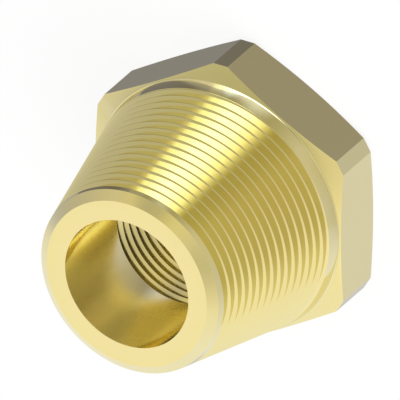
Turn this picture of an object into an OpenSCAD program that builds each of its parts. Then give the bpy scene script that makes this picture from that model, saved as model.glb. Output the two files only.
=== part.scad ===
// Hexagon reducing bushing for threaded pipe, turned from one brass bar.
// It stands on the end of its hexagon head, with the pipe axis along +Z and the tapered male end up.

/* [Hexagon head] */
// Distance across the wrench flats
across_flats = 61.4; // [61:0.1:65]
// Distance across the small flats that cut off the corners
across_corner_flats = 68.9; // [66:0.1:70.8]
// Height of the head between the inner edges of its two conical faces
head_h = 14.2; // [9:0.1:24]
// Diameter at which each end face of the head starts to fall away, and of the foot of the male end
face_ring_d = 60.5; // [58:0.1:60.8]
// Fall of the conical end faces towards the corners, in degrees
face_fall_angle = 16; // [8:1:30]

/* [Male end] */
// Height of the tapered male end, from the head's face up to the end bevel
taper_h = 37.8; // [24:0.1:45]
// Diameter of the taper's small end, under the end bevel
small_end_d = 44.3; // [42:0.1:50]
// Outer diameter of the flat ring at the male end
end_face_d = 40; // [37:0.1:41.6]
// Height of the bevel between that ring and the taper
end_bevel_h = 1.4; // [0.6:0.1:3]
// Radius of the small hollow fillet between the taper's foot and the head
foot_fillet_r = 0.4; // [0.2:0.1:0.6]

/* [Passage] */
// Diameter of the smooth waterway at the male end
waterway_d = 30.8; // [22:0.1:31]
// Diameter over the crests of the internal thread
socket_d = 31.2; // [31.2:0.1:34]
// Depth of the threaded socket, from the head's outer face
socket_depth = 31.4; // [16:0.1:40]
// Diameter of the countersink at the socket's mouth
mouth_d = 36; // [34.6:0.1:40]

/* [Hidden] */
$fn = 180;
// Overlap of a cut with the space outside the solid
cut_past = 1;
// Every upright height, from the standing face up
taper_top = head_h + taper_h;
total_h = taper_top + end_bevel_h;
// Lean of the taper from the upright
taper_angle = atan2((face_ring_d - small_end_d) / 2, taper_h);
// The foot's corner lies between the taper and the falling face, and the fillet touches both
foot = [face_ring_d / 2, head_h];
half_corner = (90 + taper_angle + face_fall_angle) / 2;
touch = foot_fillet_r / tan(half_corner);
on_taper = foot + touch * [-sin(taper_angle), cos(taper_angle)];
on_face = foot + touch * [cos(face_fall_angle), -sin(face_fall_angle)];
middle_angle = half_corner - face_fall_angle;
fillet_centre = foot + foot_fillet_r / sin(half_corner) * [cos(middle_angle), sin(middle_angle)];
// The head's cones reach past the corners, so that the hexagon cuts them
head_reach = across_corner_flats / 2 + cut_past;
head_fall = (head_reach - face_ring_d / 2) * tan(face_fall_angle);
// The countersink falls at 45 degrees
mouth_h = (mouth_d - socket_d) / 2;

// A hexagonal bar on its end, given the distance between opposite sides
module hexagon_bar(across, h) {
    cylinder(d = across / cos(30), h = h, $fn = 6);
}

// Half section of a disc whose two faces fall away outside the face ring
module head_section() {
    polygon([
        [0, 0],
        [face_ring_d / 2, 0],
        [head_reach, head_fall],
        [head_reach, head_h - head_fall],
        [face_ring_d / 2, head_h],
        [0, head_h]
    ]);
}

// Hexagon with cut corners and conical end faces
module head() {
    intersection() {
        hexagon_bar(across_flats, head_h);
        rotate([0, 0, 30]) hexagon_bar(across_corner_flats, head_h);
        rotate_extrude() head_section();
    }
}

// Half section of the metal that the fillet leaves in the corner at the foot
module fillet_section() {
    difference() {
        polygon([foot - [cut_past, cut_past], on_face, fillet_centre, on_taper]);
        translate(fillet_centre) circle(r = foot_fillet_r);
    }
}

// Half section of the taper, which follows the thread's crests, and of the end bevel
module male_section() {
    polygon([
        [0, head_h - cut_past],
        [face_ring_d / 2, head_h - cut_past],
        [face_ring_d / 2, head_h],
        [small_end_d / 2, taper_top],
        [end_face_d / 2, total_h],
        [0, total_h]
    ]);
}

// Turned outside of the male end
module male_body() {
    rotate_extrude() {
        male_section();
        fillet_section();
    }
}

// Half section of the way through: countersink, threaded socket, then waterway
module passage_section() {
    polygon([
        [0, -cut_past],
        [mouth_d / 2 + cut_past, -cut_past],
        [socket_d / 2, mouth_h],
        [socket_d / 2, socket_depth],
        [waterway_d / 2, socket_depth],
        [waterway_d / 2, total_h + cut_past],
        [0, total_h + cut_past]
    ]);
}

module bushing() {
    color([0.86, 0.75, 0.42]) difference() {
        union() {
            head();
            male_body();
        }
        rotate_extrude() passage_section();
    }
}

bushing();
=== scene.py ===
"""Looks for a hexagon reducing bushing in polished brass, on a pale studio floor."""

import math

import bmesh
import bpy
from mathutils import Matrix, Vector


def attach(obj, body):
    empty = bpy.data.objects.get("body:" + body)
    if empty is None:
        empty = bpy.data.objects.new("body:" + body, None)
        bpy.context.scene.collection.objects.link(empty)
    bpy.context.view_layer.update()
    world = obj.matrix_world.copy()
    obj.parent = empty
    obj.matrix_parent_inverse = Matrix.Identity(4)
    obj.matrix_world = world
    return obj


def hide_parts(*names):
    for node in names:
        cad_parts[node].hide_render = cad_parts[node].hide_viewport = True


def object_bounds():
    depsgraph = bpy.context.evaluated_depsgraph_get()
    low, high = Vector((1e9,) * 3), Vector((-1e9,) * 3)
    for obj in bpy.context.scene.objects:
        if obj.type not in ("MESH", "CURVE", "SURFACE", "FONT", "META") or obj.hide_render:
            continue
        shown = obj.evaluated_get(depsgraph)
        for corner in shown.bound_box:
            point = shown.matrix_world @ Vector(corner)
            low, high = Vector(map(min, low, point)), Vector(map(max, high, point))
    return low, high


bl_info = {
    "name": "Brass pipe bushing",
    "version": (1, 0, 0),
    "blender": (4, 5, 0),
    "location": "3D View > Sidebar > Bushing",
    "description": "Turns a threaded hexagon bushing and sets up its studio",
    "category": "Object",
}

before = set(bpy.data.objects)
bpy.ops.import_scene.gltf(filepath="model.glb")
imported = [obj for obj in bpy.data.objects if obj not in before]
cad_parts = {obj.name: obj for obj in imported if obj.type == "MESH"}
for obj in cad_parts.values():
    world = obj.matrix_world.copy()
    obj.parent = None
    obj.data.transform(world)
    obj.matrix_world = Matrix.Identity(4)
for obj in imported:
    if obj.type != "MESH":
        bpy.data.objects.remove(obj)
cad_low, cad_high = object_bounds()

# Turning and threading share this many steps a turn
STEPS_PER_TURN = 192
# Steps in the small fillet's arc
FILLET_STEPS = 8
# Points closer than this are one point
WELD = 1e-6
# Size of the plane that a drawn line starts from, before it is merged to a point
SEED = 0.001
# How far a cutting shape stands out past what it cuts
SPARE = 0.001
# Radius of the guide edge that carries a thread's climb, well outside the part
GUIDE_RADIUS = 0.2
# How far a space reaches that has to hold the whole part, as a share of the part's own reach
BEYOND = 1.5
# Edges that turn less than this are shaded smooth
SMOOTH_BELOW = math.radians(12)

# Values of the cloud pattern between which the tarnish gives way to clean brass
CLOUD_RANGE = (0.3, 0.6)
# Values of the smear pattern over which the roughness goes from least to most
SMEAR_RANGE = (0.35, 0.65)
# Pointiness at which an edge starts to look worn, and at which it is fully worn
WORN_RANGE = (0.53, 0.62)

# Distance of the camera from the middle of its view, and from what it first sees
CAMERA_DISTANCE = 0.5
CAMERA_CLIP = 0.01

# Soft flags and panels of the room that the metal mirrors: name, azimuth and elevation in degrees,
# half width and half height as shares of their distance, the even share of those before the edge falls
# off, and how much red, green and blue they take or give
FLAGS = (
    ("low_left_flag", 87.3, -65.4, 1.44, 1.25, 0.11, (0.63, 0.62, 0.42)),
    ("low_left_flag_2", 115.2, -37.5, 0.86, 0.15, 0.85, (0.51, 0.53, 0.53)),
    ("high_left_flag", 88.2, 35.2, 2.36, 0.65, 0.54, (0.68, 0.62, 0.22)),
    ("high_far_left_flag", 144.6, 85.4, 0.68, 1.92, 0.00, (0.85, 0.78, 0.52)),
    ("low_far_left_flag", 157.0, -55.6, 1.49, 0.42, 0.33, (0.43, 0.44, 0.49)),
    ("level_left_flag", 53.9, 15.1, 0.89, 1.20, 0.51, (0.25, 0.27, 0.49)),
    ("level_right_flag", -39.1, -15.2, 2.40, 0.27, 0.52, (0.12, 0.14, 0.29)),
    ("low_near_flag", 45.0, -42.6, 1.27, 0.53, 0.46, (0.00, 0.06, 0.31)),
    ("level_left_flag_2", 62.4, -0.7, 0.36, 0.35, 0.81, (0.92, 0.92, 0.00)),
)
PANELS = (
    ("high_left_panel", 101.3, 30.1, 1.16, 0.51, 0.66, (0.29, 0.25, 0.02)),
    ("level_left_panel", 58.6, 14.7, 0.56, 0.75, 0.32, (2.64, 3.01, 4.40)),
    ("level_far_right_panel", -128.7, -4.6, 2.40, 1.28, 0.32, (0.23, 0.25, 0.32)),
    ("high_far_panel", -145.1, 64.1, 0.35, 0.36, 0.71, (0.14, 0.12, 0.13)),
    ("level_far_right_panel_2", -91.5, -12.8, 0.40, 0.31, 0.40, (0.26, 0.36, 1.50)),
    ("high_right_panel", -35.9, 88.6, 1.53, 2.34, 0.00, (0.42, 0.35, 0.00)),
    ("level_left_panel_2", 77.5, -10.5, 0.21, 0.29, 0.83, (0.23, 0.38, 0.53)),
    ("low_left_panel", 70.7, -39.8, 0.53, 0.25, 0.55, (0.35, 0.40, 0.65)),
    ("level_left_panel_3", 86.2, -13.8, 0.63, 0.24, 0.82, (0.17, 0.18, 0.47)),
    ("level_left_panel_4", 76.2, -1.4, 0.29, 1.18, 0.76, (0.11, 0.10, 0.01)),
    ("level_far_left_panel", 147.5, -0.7, 0.33, 0.28, 0.82, (0.36, 0.38, 0.39)),
)


def length(name, description, default):
    """A size in metres, shown as a length."""
    return bpy.props.FloatProperty(
        name=name, description=description, default=default, min=0.0, unit="LENGTH", precision=5
    )


def angle(name, description, degrees):
    """An angle, written in degrees."""
    return bpy.props.FloatProperty(
        name=name, description=description, default=math.radians(degrees), subtype="ANGLE"
    )


def amount(name, description, default, most=10.0):
    """A plain number."""
    return bpy.props.FloatProperty(
        name=name, description=description, default=default, min=0.0, max=most, precision=4
    )


def colour(name, description, default):
    """A linear colour."""
    return bpy.props.FloatVectorProperty(
        name=name, description=description, default=default, min=0.0, max=1.0, subtype="COLOR", size=3
    )


def position(name, description, default):
    """A place in metres."""
    return bpy.props.FloatVectorProperty(
        name=name, description=description, default=default, unit="LENGTH", subtype="TRANSLATION", size=3
    )


class BushingSizes(bpy.types.PropertyGroup):
    """Every size of the turned part, as its solid has them."""

    across_flats: length("Across flats", "Distance between opposite wrench flats", 0.0614)
    across_corners: length("Across corner flats", "Distance between the flats on the corners", 0.0689)
    head_height: length("Head height", "Height of the hexagon head", 0.0142)
    face_ring: length("Face ring radius", "Where the head's faces start to fall away", 0.03025)
    face_fall: angle("Face fall", "Fall of the head's conical faces", 16)
    fillet_radius: length("Fillet radius", "Small hollow fillet at the taper's foot", 0.0004)
    small_end: length("Small end radius", "Radius of the taper's small end", 0.02215)
    taper_top: length("Taper top", "Height at which the end bevel starts", 0.0520)
    end_radius: length("End face radius", "Outer radius of the flat ring at the male end", 0.0200)
    waterway_radius: length("Waterway radius", "Radius of the smooth bore", 0.0154)
    socket_radius: length("Socket radius", "Radius over the crests of the inner thread", 0.0156)
    socket_depth: length("Socket depth", "Depth of the threaded socket", 0.0314)
    mouth_radius: length("Mouth radius", "Radius of the countersink", 0.0180)


class ThreadSizes(bpy.types.PropertyGroup):
    """Pitch, form and start of both threads."""

    outer_foot: length("Outer foot", "Height at which the outer thread stops above the head", 0.0172)
    outer_pitch: length("Outer pitch", "Rise of the outer thread in one turn", 0.0022345)
    outer_flat: length("Outer crest", "Width left on each outer crest", 0.00011)
    outer_phase: length("Outer phase", "Height of the outer groove's upper edge at azimuth 0", 0.050514)
    outer_start: angle("Outer start", "Azimuth at which the outer groove reaches its depth", 114.2)
    outer_run_in: angle("Outer run-in", "Arc over which the outer groove deepens", 150)
    inner_pitch: length("Inner pitch", "Rise of the inner thread in one turn", 0.0023090)
    inner_flat: length("Inner crest", "Width left on each inner crest", 0.00007)
    inner_phase: length("Inner phase", "Height of the inner groove's upper edge at azimuth 0", 0.032035)
    inner_start: angle("Inner start", "Azimuth at which the inner groove reaches its depth", -100.8)
    inner_run_in: angle("Inner run-in", "Arc over which the inner groove deepens", 45)
    half_angle: angle("Flank angle", "Half the angle of the thread's V", 30)
    overshoot: length("Overshoot", "How far a groove cutter stands out of the surface", 0.00004)


class BrassFinish(bpy.types.PropertyGroup):
    """Colour and polish of the brass."""

    brass_colour: colour("Brass", "Colour of the clean brass", (0.883, 0.789, 0.371))
    shade_colour: colour("Tarnish", "Colour of the faintly cloudy patches", (0.872, 0.769, 0.365))
    clouds_per_metre: amount("Clouds", "Fineness of the cloudy patches, per metre", 55.0, 1000.0)
    edge_colour: colour("Worn edge", "Colour of the edges that wear keeps bright", (0.93, 0.83, 0.45))
    edge_wear: amount("Edge wear", "How far the edges take the worn colour", 0.5, 1.0)
    roughness: amount("Roughness", "Roughness of the polish", 0.07, 1.0)
    smear_share: amount("Smear", "Share by which that roughness goes up and down", 0.15, 1.0)
    smears_per_metre: amount("Smears", "Fineness of the changes in roughness, per metre", 240.0, 1000.0)
    # Painted light: the paler brass colour on the waterway and inner thread brightens their reflections;
    # only their roughness is a real duller finish
    bore_brightening_colour: colour("Bored wall", "Colour of the waterway and the inner thread", (0.898, 0.798, 0.40))
    bored_roughness: amount("Bored roughness", "Roughness of the waterway and the inner thread", 0.15, 1.0)
    bored_within: length("Bored within", "Radius inside which all is bored wall", 0.0155)
    threaded_within: length("Threaded within", "Radius inside which the whole socket is too", 0.0177)
    marks_per_metre: amount("Lathe marks", "Fineness of the lathe marks, per metre", 3500.0, 20000.0)
    mark_strength: amount("Mark strength", "Strength of the lathe marks", 0.15, 1.0)
    mark_depth: length("Mark depth", "Depth of the lathe marks", 0.00001)


class StudioSetting(bpy.types.PropertyGroup):
    """Camera, floor and light."""

    camera_azimuth: angle("Camera azimuth", "Direction the camera looks from", 19.2)
    camera_elevation: angle("Camera elevation", "Height of the camera above the horizon", 48.4)
    camera_roll: angle("Camera roll", "Turn of the picture", 40.91)
    frame_width: length("Frame width", "Width of the parallel view", 0.08648)
    frame_right: length("Frame right", "Middle of the view, right of the male end's centre", 0.015847)
    frame_up: length("Frame up", "Middle of the view, above the male end's centre", 0.018172)
    floor_size: length("Floor", "Side of the floor", 3.0)
    floor_gap: length("Floor gap", "Drop of the floor under the part, which keeps the two apart", 0.00005)
    floor_colour: colour("Floor colour", "Colour of the paper floor", (0.96, 0.96, 0.96))
    floor_glow: amount("Floor glow", "Share of the floor that shows as plain white", 0.88, 1.0)
    room_level: amount("Room level", "Light that comes from all round", 0.70)
    room_tone: colour("Room tone", "Tone of the room that the metal mirrors", (0.702, 0.704, 0.816))
    lamp_power: amount("Lamp power", "Power of the soft lamp, in watts", 10.8, 100.0)
    lamp_size: length("Lamp size", "Side of the soft lamp", 0.8)
    lamp_place: position("Lamp place", "Where the soft lamp hangs", (0.5, -0.6, 1.1))


def deselect_all():
    """Leaves object mode current and nothing selected."""
    if bpy.context.mode != "OBJECT":
        bpy.ops.object.mode_set(mode="OBJECT")
    bpy.ops.object.select_all(action="DESELECT")


def make_active(piece):
    """Selects one object alone."""
    deselect_all()
    piece.select_set(True)
    bpy.context.view_layer.objects.active = piece


def weld():
    """Merges doubled points in edit mode."""
    bpy.ops.mesh.select_all(action="SELECT")
    bpy.ops.mesh.remove_doubles(threshold=WELD)


def face_outwards():
    """Turns every face of a closed mesh outwards, and leaves edit mode."""
    bpy.ops.mesh.select_all(action="SELECT")
    bpy.ops.mesh.normals_make_consistent(inside=False)
    bpy.ops.object.mode_set(mode="OBJECT")


def draw_line(name, points, closed=False):
    """Draws a line of edges through the points by extruding one vertex, and stays in edit mode."""
    deselect_all()
    bpy.ops.mesh.primitive_plane_add(size=SEED, location=(0, 0, 0))
    piece = bpy.context.active_object
    piece.name = name
    piece.data.name = name
    bpy.ops.object.mode_set(mode="EDIT")
    bpy.ops.mesh.select_mode(type="VERT")
    bpy.ops.mesh.select_all(action="SELECT")
    bpy.ops.mesh.merge(type="CENTER")
    path = [Vector(p) for p in points]
    bpy.ops.transform.translate(value=path[0])
    if closed:
        path.append(path[0])
    for here, there in zip(path, path[1:]):
        bpy.ops.mesh.extrude_region_move(TRANSFORM_OT_translate={"value": there - here})
    weld()
    return piece


def turn(name, outline):
    """Turns a closed outline of (radius, height) points about the pipe axis."""
    piece = draw_line(name, [(r, 0, z) for r, z in outline], closed=True)
    bpy.ops.mesh.select_all(action="SELECT")
    bpy.ops.mesh.spin(steps=STEPS_PER_TURN, angle=math.tau, center=(0, 0, 0), axis=(0, 0, 1))
    weld()
    face_outwards()
    return piece


def combine(piece, tool, operation):
    """Applies a boolean with another object, which is then deleted."""
    make_active(piece)
    cut = piece.modifiers.new(operation.title(), "BOOLEAN")
    cut.operation = operation
    cut.object = tool
    cut.solver = "MANIFOLD"
    bpy.ops.object.modifier_apply(modifier=cut.name)
    bpy.data.objects.remove(tool)


# In what follows, s is the scene's BushingSizes and t its ThreadSizes


def taper_lean(s):
    """Angle of the male end's taper from the upright."""
    return math.atan2(s.face_ring - s.small_end, s.taper_top - s.head_height)


def fillet_arc(s):
    """Points of the small hollow fillet, from the head's falling face round to the taper."""
    half_corner = (math.radians(90) + taper_lean(s) + s.face_fall) / 2
    middle = half_corner - s.face_fall
    away = s.fillet_radius / math.sin(half_corner)
    centre_r = s.face_ring + away * math.cos(middle)
    centre_z = s.head_height + away * math.sin(middle)
    first = math.radians(-90) - s.face_fall
    last = math.radians(-180) + taper_lean(s)
    arc = []
    for i in range(FILLET_STEPS + 1):
        a = first + (last - first) * i / FILLET_STEPS
        arc.append((centre_r + s.fillet_radius * math.cos(a), centre_z + s.fillet_radius * math.sin(a)))
    return arc


def turned_outline(s):
    """Half section of the whole part, from the countersink round to the smooth bore."""
    reach = s.across_corners / 2 + SPARE
    fall = (reach - s.face_ring) * math.tan(s.face_fall)
    return [
        (s.mouth_radius, 0),
        (s.face_ring, 0),
        (reach, fall),
        (reach, s.head_height - fall),
        *fillet_arc(s),
        (s.small_end, s.taper_top),
        (s.end_radius, cad_high.z),
        (s.waterway_radius, cad_high.z),
        (s.waterway_radius, s.socket_depth),
        (s.socket_radius, s.socket_depth),
        (s.socket_radius, s.mouth_radius - s.socket_radius),
    ]


def hexagon_bar(s):
    """Hexagon bar with its corners planed off, longer than the part at both ends."""
    deselect_all()
    half_side_angle = math.radians(30)
    half_corner_angle = math.radians(60)
    corner = s.across_flats / 2 / math.cos(half_side_angle)
    bpy.ops.mesh.primitive_cylinder_add(
        vertices=6,
        radius=corner,
        depth=cad_high.z + 4 * SPARE,
        location=(0, 0, cad_high.z / 2),
        rotation=(0, 0, half_side_angle),
    )
    bar = bpy.context.active_object
    bar.name = "hexagon_bar"
    bpy.ops.object.transform_apply(location=True, rotation=True, scale=True)
    bpy.ops.object.mode_set(mode="EDIT")
    bpy.ops.mesh.select_mode(type="EDGE")
    bpy.ops.mesh.select_all(action="DESELECT")
    bpy.ops.object.mode_set(mode="OBJECT")
    points = bar.data.vertices
    for edge in bar.data.edges:
        low, high = (points[i].co for i in edge.vertices)
        edge.select = abs(high.z - low.z) > cad_high.z
    bpy.ops.object.mode_set(mode="EDIT")
    planed = (corner - s.across_corners / 2) / math.cos(half_corner_angle)
    bpy.ops.mesh.bevel(offset_type="OFFSET", offset=planed, segments=1, affect="EDGES")
    face_outwards()
    return bar


def at(azimuth, radius, height):
    """A point in the half plane at an azimuth."""
    return Vector((radius * math.cos(azimuth), radius * math.sin(azimuth), height))


def select_points(piece, wanted):
    """Selects, in edit mode, the points that pass a test."""
    bpy.ops.mesh.select_mode(type="VERT")
    bpy.ops.mesh.select_all(action="DESELECT")
    mesh = bmesh.from_edit_mesh(piece.data)
    for point in mesh.verts:
        point.select_set(wanted(point))
    mesh.select_flush(True)
    bmesh.update_edit_mesh(piece.data)


def screw_turn(name, azimuth, section, climb):
    """Sweeps a closed section of (radius, height) points one turn clockwise, along a climb of that kind.
    A guide edge well outside the section carries the climb, and its ribbon is deleted after the sweep."""
    far = Vector((GUIDE_RADIUS, 0.0))
    piece = draw_line(name, [at(azimuth, *p) for p in section], closed=True)
    guide = draw_line("pitch_guide", [at(azimuth, *far), at(azimuth, *(far + climb))])
    make_active(piece)
    guide.select_set(True)
    bpy.ops.object.join()
    bpy.ops.object.mode_set(mode="EDIT")
    bpy.ops.mesh.select_all(action="SELECT")
    bpy.ops.mesh.screw(steps=STEPS_PER_TURN, turns=1, center=(0, 0, 0), axis=(0, 0, -1))
    select_points(piece, lambda point: point.co.xy.length > GUIDE_RADIUS / 2)
    bpy.ops.mesh.delete(type="VERT")
    return piece


def groove_cutter(name, half_angle, overshoot, start, turns, edge, taper, pitch, flat, outward, run_in):
    """Sweeps a V along a conical helix that falls clockwise, as a right-hand thread does.
    edge is the (radius, height) of the V's upper edge where the groove is first at full depth, and taper
    the radius gained for each metre down. outward is 1 for a groove in an outer surface and -1 in a bore.
    The turn before that comes in from outside the surface, and bites over the arc of run_in."""
    down = Vector((taper, -1)).normalized()
    out = Vector((-down.y, down.x)) * outward
    width = pitch / -down.y - flat
    depth = width / 2 / math.tan(half_angle)
    climb = Vector((taper, -1)) * pitch
    entry = climb - Vector((outward * depth * math.tau / run_in, 0))
    top = Vector(edge)
    bottom = top + down * width
    root = top + down * width / 2 - out * depth
    proud = 1 + overshoot / depth
    section = [root + (top - root) * proud, root, root + (bottom - root) * proud]
    swept = [screw_turn(name, start, [p - entry for p in section], entry)]
    for turn_number in range(turns):
        swept.append(screw_turn(name, start, [p + climb * turn_number for p in section], climb))
    make_active(swept[0])
    for piece in swept:
        piece.select_set(True)
    bpy.ops.object.join()
    bpy.ops.object.mode_set(mode="EDIT")
    weld()
    bpy.ops.mesh.fill_holes(sides=len(section))
    face_outwards()
    return swept[0]


def room_above_foot(s, t):
    """The space for the outer groove, with a floor that falls outwards like the groove's lower flank."""
    slope = math.tan(t.half_angle - taper_lean(s))
    foot_radius = s.small_end + (s.taper_top - t.outer_foot) * math.tan(taper_lean(s))
    near = s.waterway_radius
    far = cad_high.x * BEYOND
    top = cad_high.z * BEYOND
    rim = [(radius, t.outer_foot - (radius - foot_radius) * slope) for radius in (near, far)]
    return turn("room_above_foot", [*rim, (far, top), (near, top)])


def outer_groove(s, t):
    """Cutter for the outer thread, on the taper."""
    taper = math.tan(taper_lean(s))
    height = t.outer_phase + t.outer_pitch * t.outer_start / math.tau
    cutter = groove_cutter(
        "outer_groove",
        half_angle=t.half_angle,
        overshoot=t.overshoot,
        start=t.outer_start,
        turns=math.ceil((height - t.outer_foot) / t.outer_pitch),
        edge=(s.small_end + (s.taper_top - height) * taper, height),
        taper=taper,
        pitch=t.outer_pitch,
        flat=t.outer_flat,
        outward=1,
        run_in=t.outer_run_in,
    )
    combine(cutter, room_above_foot(s, t), "INTERSECT")
    return cutter


def inner_groove(s, t):
    """Cutter for the inner thread, straight down the socket and out through its mouth."""
    height = t.inner_phase + t.inner_pitch * t.inner_start / math.tau
    return groove_cutter(
        "inner_groove",
        half_angle=t.half_angle,
        overshoot=t.overshoot,
        start=t.inner_start,
        turns=math.ceil(height / t.inner_pitch) + 1,
        edge=(s.socket_radius, height),
        taper=0,
        pitch=t.inner_pitch,
        flat=t.inner_flat,
        outward=-1,
        run_in=t.inner_run_in,
    )


def add_node(tree, kind, place, **settings):
    """Adds a shader node at a place in the editor and sets its options and unlinked inputs."""
    node = tree.nodes.new(kind)
    node.location = place
    for name, value in settings.items():
        if hasattr(node, name):
            setattr(node, name, value)
        else:
            node.inputs[name].default_value = value
    return node


def new_material(name):
    """An empty node material and its output."""
    material = bpy.data.materials.new(name)
    material.use_nodes = True
    material.node_tree.nodes.clear()
    output = add_node(material.node_tree, "ShaderNodeOutputMaterial", (900, 0))
    return material, material.node_tree, output


def reckon(tree, place, operation, first, second):
    """A maths node on two values, each of them a number or another node's output."""
    node = add_node(tree, "ShaderNodeMath", place, operation=operation)
    for socket, value in zip(node.inputs, (first, second)):
        if isinstance(value, float):
            socket.default_value = value
        else:
            tree.links.new(value, socket)
    return node.outputs["Value"]


def ranged(tree, place, value, old, new):
    """A value carried from its old (least, most) range to a new one, and held at the ends."""
    node = add_node(tree, "ShaderNodeMapRange", place, clamp=True)
    for name, end in zip(("From Min", "From Max", "To Min", "To Max"), (*old, *new)):
        node.inputs[name].default_value = end
    tree.links.new(value, node.inputs["Value"])
    return node.outputs["Result"]


def noise(tree, place, where, scale, detail, roughness):
    """Soft noise, with its fineness per metre."""
    node = add_node(tree, "ShaderNodeTexNoise", place, Scale=scale, Detail=detail, Roughness=roughness)
    tree.links.new(where, node.inputs["Vector"])
    return node.outputs["Fac"]


def mixed_colour(tree, place, factor, first, second):
    """A colour that goes from the first to the second as the factor goes from 0 to 1."""
    mix = add_node(tree, "ShaderNodeMix", place, data_type="RGBA")
    colours = [s for s in mix.inputs if s.type == "RGBA"]
    tree.links.new(factor, mix.inputs["Factor"])
    tree.links.new(first, colours[0])
    colours[1].default_value = (*second, 1)
    return [s for s in mix.outputs if s.type == "RGBA"][0]


def axis_distance(tree, apart):
    """Distance of each point from the pipe axis."""
    flat = add_node(tree, "ShaderNodeCombineXYZ", (-1300, -480))
    tree.links.new(apart.outputs["X"], flat.inputs["X"])
    tree.links.new(apart.outputs["Y"], flat.inputs["Y"])
    radius = add_node(tree, "ShaderNodeVectorMath", (-1120, -480), operation="LENGTH")
    tree.links.new(flat.outputs["Vector"], radius.inputs[0])
    return radius.outputs["Value"]


def bored_wall(tree, radius, height, look, socket_depth):
    """1 on the waterway's wall and in the inner thread, and 0 on the rest."""
    bore = reckon(tree, (-700, -700), "LESS_THAN", radius, look.bored_within)
    near = reckon(tree, (-700, -880), "LESS_THAN", radius, look.threaded_within)
    low = reckon(tree, (-700, -1060), "LESS_THAN", height, socket_depth)
    thread = reckon(tree, (-500, -960), "MULTIPLY", near, low)
    return reckon(tree, (-300, -800), "MAXIMUM", bore, thread)


def brass_tint(tree, where, bored, look):
    """Faintly cloudy brass, brighter on its edges, and painted paler on the bored wall to brighten its
    reflections.
    """
    link = tree.links.new
    cloud = noise(tree, (-900, 300), where, look.clouds_per_metre, detail=3.0, roughness=0.55)
    tint = add_node(tree, "ShaderNodeValToRGB", (-650, 300))
    shades = (look.shade_colour, look.brass_colour)
    for element, place, shade in zip(tint.color_ramp.elements, CLOUD_RANGE, shades):
        element.position = place
        element.color = (*shade, 1)
    link(cloud, tint.inputs["Fac"])
    shape = add_node(tree, "ShaderNodeNewGeometry", (-900, 620))
    wear = ranged(tree, (-650, 620), shape.outputs["Pointiness"], WORN_RANGE, (0.0, look.edge_wear))
    worn = mixed_colour(tree, (-300, 400), wear, tint.outputs["Color"], look.edge_colour)
    # Painted light: the bored wall and inner thread take the paler colour, which brightens the reflections
    # in the bore
    return mixed_colour(tree, (0, 300), bored, worn, look.bore_brightening_colour)


def brass_gloss(tree, where, bored, look):
    """Roughness that varies a little over the polish, and is greater on the bored wall."""
    link = tree.links.new
    smear = noise(tree, (-740, -60), where, look.smears_per_metre, detail=4.0, roughness=0.6)
    least = look.roughness * (1 - look.smear_share)
    most = look.roughness * (1 + look.smear_share)
    mix = add_node(tree, "ShaderNodeMix", (0, -120), data_type="FLOAT", B=look.bored_roughness)
    link(bored, mix.inputs["Factor"])
    link(ranged(tree, (-300, -60), smear, SMEAR_RANGE, (least, most)), mix.inputs["A"])
    return mix.outputs["Result"]


def lathe_marks(tree, radius, height, bored, look):
    """Fine rings round the pipe axis, as bump, with none on the bored wall."""
    link = tree.links.new
    ring = add_node(tree, "ShaderNodeCombineXYZ", (-940, -380))
    link(radius, ring.inputs["X"])
    link(height, ring.inputs["Z"])
    fineness = look.marks_per_metre
    lathe = noise(tree, (-740, -380), ring.outputs["Vector"], fineness, detail=2.0, roughness=0.5)
    marked = reckon(tree, (-100, -480), "SUBTRACT", 1.0, bored)
    bump = add_node(tree, "ShaderNodeBump", (300, -300), Distance=look.mark_depth)
    link(reckon(tree, (60, -480), "MULTIPLY", marked, look.mark_strength), bump.inputs["Strength"])
    link(lathe, bump.inputs["Height"])
    return bump.outputs["Normal"]


def brass_material(look, socket_depth):
    """Polished brass with lathe marks, faint cloudiness, worn edges and a duller bored wall."""
    material, tree, output = new_material("polished_brass")
    link = tree.links.new
    where = add_node(tree, "ShaderNodeTexCoord", (-1500, 0)).outputs["Object"]
    apart = add_node(tree, "ShaderNodeSeparateXYZ", (-1300, -300))
    link(where, apart.inputs["Vector"])
    radius = axis_distance(tree, apart)
    height = apart.outputs["Z"]
    bored = bored_wall(tree, radius, height, look, socket_depth)
    brass = add_node(tree, "ShaderNodeBsdfPrincipled", (560, 0), Metallic=1.0)
    link(brass_tint(tree, where, bored, look), brass.inputs["Base Color"])
    link(brass_gloss(tree, where, bored, look), brass.inputs["Roughness"])
    link(lathe_marks(tree, radius, height, bored, look), brass.inputs["Normal"])
    link(brass.outputs["BSDF"], output.inputs["Surface"])
    return material


class BUSHING_OT_turn_body(bpy.types.Operator):
    """Turns the bushing from hexagon bar and cuts both threads"""

    bl_idname = "bushing.turn_body"
    bl_label = "Turn Bushing"

    def execute(self, context):
        s = context.scene.bushing_sizes
        t = context.scene.bushing_threads
        piece = turn("brass_bushing", turned_outline(s))
        combine(piece, hexagon_bar(s), "INTERSECT")
        combine(piece, outer_groove(s, t), "DIFFERENCE")
        combine(piece, inner_groove(s, t), "DIFFERENCE")
        make_active(piece)
        bpy.ops.object.shade_smooth_by_angle(angle=SMOOTH_BELOW)
        piece.data.materials.clear()
        piece.data.materials.append(brass_material(context.scene.bushing_finish, s.socket_depth))
        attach(piece, "root")
        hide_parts("bushing")
        return {"FINISHED"}


def background_rays(tree):
    """1 for camera, glossy and transmission rays, and 0 for the rays that light things."""
    path = add_node(tree, "ShaderNodeLightPath", (-900, 0)).outputs
    first = reckon(tree, (-650, 0), "MAXIMUM", path["Is Camera Ray"], path["Is Glossy Ray"])
    return reckon(tree, (-450, 0), "MAXIMUM", first, path["Is Transmission Ray"])


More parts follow.
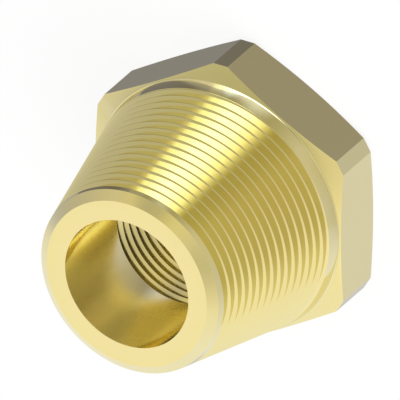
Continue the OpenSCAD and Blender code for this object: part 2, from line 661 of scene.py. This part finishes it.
def floor_material(studio):
    """White paper that glows to the camera, and keeps some of the light and shadow that fall on it."""
    material, tree, output = new_material("studio_floor")
    link = tree.links.new
    paper = add_node(tree, "ShaderNodeBsdfDiffuse", (0, -100), Color=(*studio.floor_colour, 1))
    glow = add_node(tree, "ShaderNodeEmission", (0, -300), Color=(1, 1, 1, 1), Strength=1.0)
    share = reckon(tree, (0, 100), "MULTIPLY", background_rays(tree), studio.floor_glow)
    mixed = add_node(tree, "ShaderNodeMixShader", (400, 0))
    link(share, mixed.inputs["Fac"])
    link(paper.outputs["BSDF"], mixed.inputs[1])
    link(glow.outputs["Emission"], mixed.inputs[2])
    link(mixed.outputs["Shader"], output.inputs["Surface"])
    return material


def soft_lamp(name, place, size, watts):
    """Square area lamp aimed at the part, which the camera and the metal don't see."""
    deselect_all()
    bpy.ops.object.light_add(type="AREA", location=place)
    lamp = bpy.context.active_object
    lamp.name = name
    lamp.data.size = size
    lamp.data.energy = watts
    middle = Vector((0, 0, cad_high.z / 2))
    lamp.rotation_euler = (Vector(place) - middle).to_track_quat("Z", "Y").to_euler()
    lamp.visible_camera = False
    lamp.visible_glossy = False
    return lamp


def room_card(tree, direction, card, inside, outside, place):
    """The colour that a row of FLAGS or PANELS gives, inside its even part and outside the card."""
    name, azimuth, elevation, half_width, half_height, even = card[:-1]
    azimuth = math.radians(azimuth)
    elevation = math.radians(elevation)
    facing = at(azimuth, math.cos(elevation), math.sin(elevation))
    side = at(azimuth + math.radians(90), 1, 0)
    axes = Matrix((facing, side, facing.cross(side))).transposed()
    onto = add_node(tree, "ShaderNodeMapping", (-1500, place), vector_type="TEXTURE")
    onto.label = name
    onto.inputs["Location"].default_value = facing
    onto.inputs["Rotation"].default_value = axes.to_euler()
    onto.inputs["Scale"].default_value = (1, half_width, half_height)
    tree.links.new(direction, onto.inputs["Vector"])
    apart = add_node(tree, "ShaderNodeVectorMath", (-1300, place), operation="LENGTH")
    tree.links.new(onto.outputs["Vector"], apart.inputs[0])
    edge = add_node(tree, "ShaderNodeMapRange", (-1100, place), data_type="FLOAT_VECTOR")
    edge.interpolation_type = "SMOOTHSTEP"
    vector_in = {s.name: s for s in edge.inputs if s.type == "VECTOR"}
    vector_in["From Min"].default_value = (even, even, even)
    vector_in["To Min"].default_value = inside
    vector_in["To Max"].default_value = outside
    tree.links.new(apart.outputs["Value"], vector_in["Vector"])
    return edge.outputs["Vector"]


def room_tone(tree, studio):
    """What the metal mirrors: an even pale room, darkened by soft flags and lit by soft panels."""
    direction = add_node(tree, "ShaderNodeTexCoord", (-1800, 0)).outputs["Generated"]
    white = Vector((1, 1, 1))
    steps = [("MULTIPLY", flag, white - Vector(flag[-1]), white) for flag in FLAGS]
    steps += [("ADD", panel, panel[-1], (0, 0, 0)) for panel in PANELS]
    tone = None
    place = 900
    for operation, card, inside, outside in steps:
        step = add_node(tree, "ShaderNodeVectorMath", (-850, place), operation=operation)
        tree.links.new(room_card(tree, direction, card, inside, outside, place), step.inputs[0])
        if tone:
            tree.links.new(tone, step.inputs[1])
        else:
            step.inputs[1].default_value = studio.room_tone
        tone = step.outputs["Vector"]
        place -= 240
    return tone


def light_world(studio):
    """White to the camera, a plain level for the light itself, and the soft room in the metal."""
    world = bpy.data.worlds.new("studio_room")
    bpy.context.scene.world = world
    world.use_nodes = True
    tree = world.node_tree
    tree.nodes.clear()
    link = tree.links.new
    path = add_node(tree, "ShaderNodeLightPath", (-850, 1300)).outputs
    seen = reckon(tree, (-600, 1300), "MAXIMUM", path["Is Camera Ray"], path["Is Transmission Ray"])
    plain = add_node(tree, "ShaderNodeBackground", (-100, 1300), Color=(1, 1, 1, 1))
    link(ranged(tree, (-350, 1300), seen, (0.0, 1.0), (studio.room_level, 1.0)), plain.inputs["Strength"])
    mirrored = add_node(tree, "ShaderNodeBackground", (-100, 900), Strength=1.0)
    link(room_tone(tree, studio), mirrored.inputs["Color"])
    either = add_node(tree, "ShaderNodeMixShader", (200, 1100))
    link(path["Is Glossy Ray"], either.inputs["Fac"])
    link(plain.outputs["Background"], either.inputs[1])
    link(mirrored.outputs["Background"], either.inputs[2])
    output = add_node(tree, "ShaderNodeOutputWorld", (450, 1100))
    link(either.outputs["Shader"], output.inputs["Surface"])


def place_camera(studio):
    """Parallel view on the male end, tilted as in the photograph."""
    azimuth = studio.camera_azimuth
    elevation = studio.camera_elevation
    roll = studio.camera_roll
    towards = at(azimuth, math.cos(elevation), math.sin(elevation))
    away = at(azimuth, math.sin(elevation), -math.cos(elevation))
    across = Vector((math.sin(azimuth), -math.cos(azimuth), 0))
    right = away * math.cos(roll) + across * math.sin(roll)
    up = away * math.sin(roll) - across * math.cos(roll)
    centre = Vector((0, 0, cad_high.z)) + right * studio.frame_right + up * studio.frame_up
    camera = bpy.data.objects.new("camera", bpy.data.cameras.new("camera"))
    bpy.context.scene.collection.objects.link(camera)
    camera.data.type = "ORTHO"
    camera.data.ortho_scale = studio.frame_width
    camera.data.clip_start = CAMERA_CLIP
    turned = Matrix((right, up, towards)).transposed().to_4x4()
    camera.matrix_world = Matrix.Translation(centre + towards * CAMERA_DISTANCE) @ turned
    bpy.context.scene.camera = camera


class BUSHING_OT_set_stage(bpy.types.Operator):
    """Places the camera, sets the room, lays the floor and hangs the lamp"""

    bl_idname = "bushing.set_stage"
    bl_label = "Set Stage"

    def execute(self, context):
        studio = context.scene.bushing_studio
        place_camera(studio)
        light_world(studio)
        deselect_all()
        bpy.ops.mesh.primitive_plane_add(size=studio.floor_size, location=(0, 0, -studio.floor_gap))
        floor = bpy.context.active_object
        floor.name = "studio_floor"
        floor.data.materials.append(floor_material(studio))
        floor.visible_glossy = False
        soft_lamp("key_lamp", studio.lamp_place, studio.lamp_size, studio.lamp_power)
        context.scene.view_settings.view_transform = "Standard"
        return {"FINISHED"}


class BUSHING_PT_panel(bpy.types.Panel):
    """Sizes, finish and studio of the bushing"""

    bl_idname = "BUSHING_PT_panel"
    bl_label = "Pipe Bushing"
    bl_space_type = "VIEW_3D"
    bl_region_type = "UI"
    bl_category = "Bushing"

    def draw(self, context):
        layout = self.layout
        for group_name in GROUPS:
            group = getattr(context.scene, group_name)
            box = layout.box()
            for name in group.__annotations__:
                box.prop(group, name)
        for operator in OPERATORS:
            layout.operator(operator.bl_idname)


OPERATORS = (BUSHING_OT_turn_body, BUSHING_OT_set_stage)
GROUPS = {
    "bushing_sizes": BushingSizes,
    "bushing_threads": ThreadSizes,
    "bushing_finish": BrassFinish,
    "bushing_studio": StudioSetting,
}
CLASSES = (*GROUPS.values(), *OPERATORS, BUSHING_PT_panel)


def register():
    for c in CLASSES:
        bpy.utils.register_class(c)
    for name, group in GROUPS.items():
        setattr(bpy.types.Scene, name, bpy.props.PointerProperty(type=group))


def unregister():
    for name in GROUPS:
        delattr(bpy.types.Scene, name)
    for c in reversed(CLASSES):
        bpy.utils.unregister_class(c)


def main():
    """Makes the part and its stage."""
    register()
    bpy.ops.bushing.turn_body()
    bpy.ops.bushing.set_stage()


if __name__ == "__main__":
    main()
